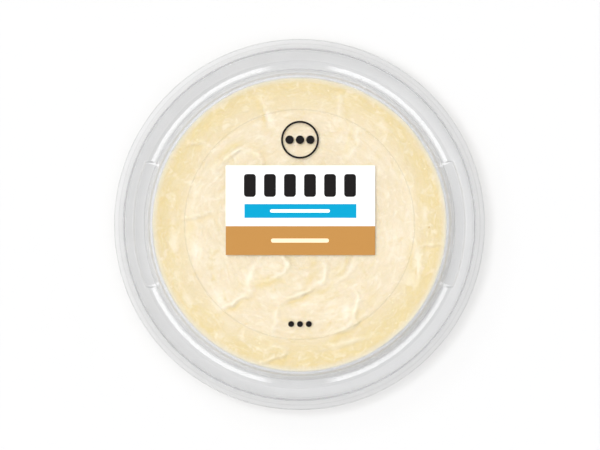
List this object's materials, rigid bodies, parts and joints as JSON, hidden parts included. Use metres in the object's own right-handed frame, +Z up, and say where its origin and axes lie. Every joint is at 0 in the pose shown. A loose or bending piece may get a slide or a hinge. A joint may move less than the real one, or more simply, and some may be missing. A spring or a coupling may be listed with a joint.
{
  "type": "tub of hummus",
  "caption": "Shut clear round tub filled with hummus, with a swirled top seen through a clear press-fit lid that carries a plain printed label.",
  "frame": {"origin": "centre of the foot ring, on the surface the tub stands on", "axes": "+Z up through the lid, +X to the right and +Y to the top of the print as it is read from above"},
  "size_m": [0.118, 0.118, 0.038],
  "materials": {
    "tub_plastic": "clear thermoformed, glossy",
    "hummus": "moist, creamy, slightly grainy",
    "lid_plastic": "clear thermoformed, glossy",
    "label_white": "coated, satin",
    "label_tan": "printed, satin",
    "label_blue": "printed, satin"
  },
  "bodies": {
    "root": {"tub": "tub_plastic", "hummus": "hummus", "lid": "lid_plastic", "label": "label_white", "label_band": "label_tan", "label_bar": "label_blue"}
  },
  "joints": []
}
